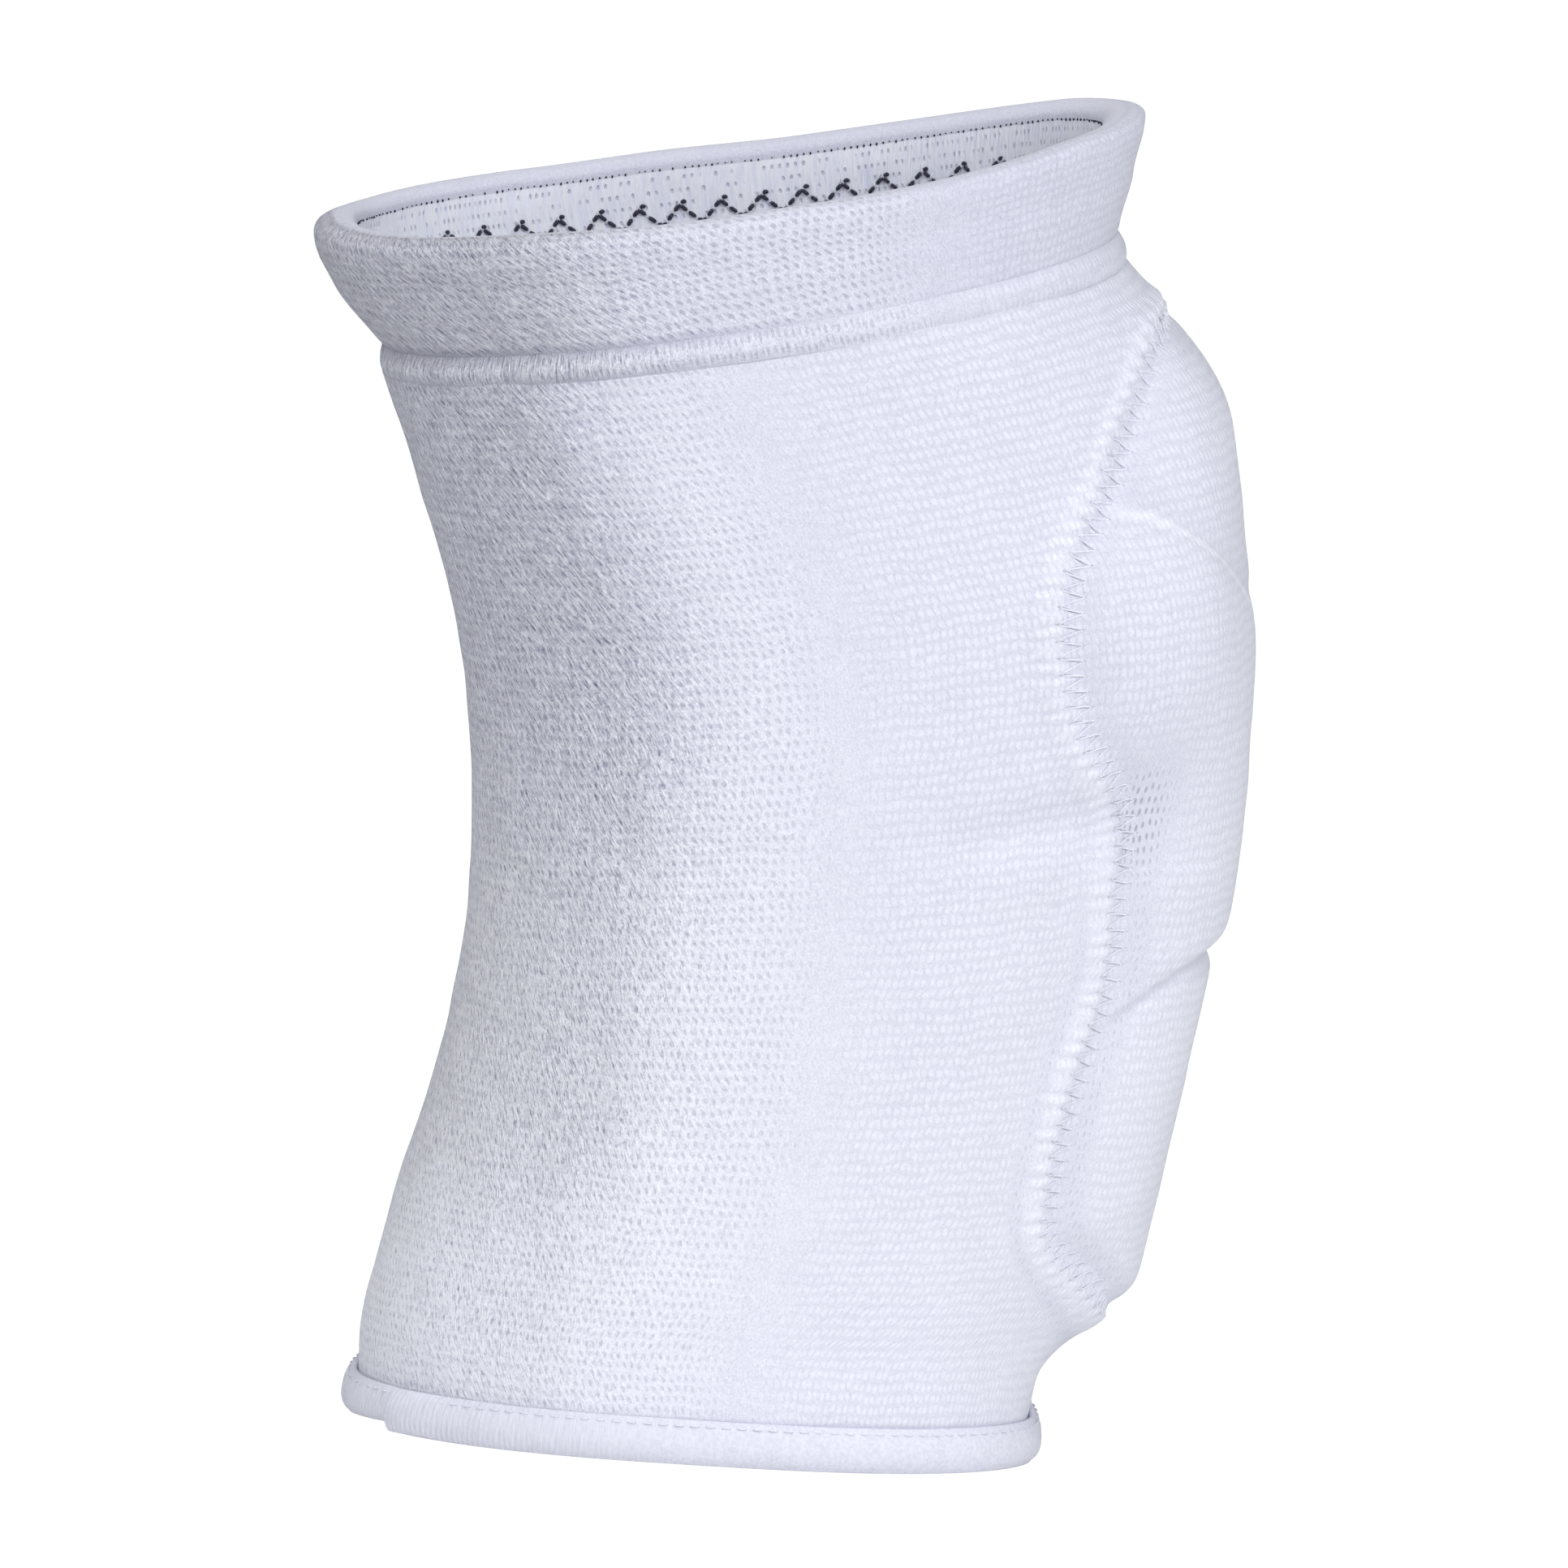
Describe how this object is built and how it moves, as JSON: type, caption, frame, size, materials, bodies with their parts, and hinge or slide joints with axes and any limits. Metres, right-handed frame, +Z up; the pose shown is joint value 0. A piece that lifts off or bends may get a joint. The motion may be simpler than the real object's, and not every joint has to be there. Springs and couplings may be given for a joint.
{
  "type": "volleyball knee pad",
  "caption": "Knitted tube for the knee in its worn form, with foam pads behind the front panel, a doubled cuff and a rolled hem.",
  "frame": {"origin": "the middle of the floor under the whole pad, at the level of the hem's flat under side", "axes": "+X towards the front of the knee, +Y across the leg, +Z up from the hem to the cuff"},
  "size_m": [0.1672, 0.0922, 0.2371],
  "materials": {
    "knit": "matte white knit",
    "cuff_knit": "matte white ribbed knit",
    "binding_thread": "matte white thread",
    "backed_foam": "matte white cloth over foam",
    "seam_thread": "white thread",
    "dark_thread": "near-black thread"
  },
  "bodies": {
    "root": {"sleeve": "knit", "pad_shin": "backed_foam", "pad_knee": "backed_foam", "pad_thigh": "backed_foam", "cuff": "cuff_knit", "cuff_welt": "cuff_knit", "hem_binding": "binding_thread"}
  },
  "joints": []
}
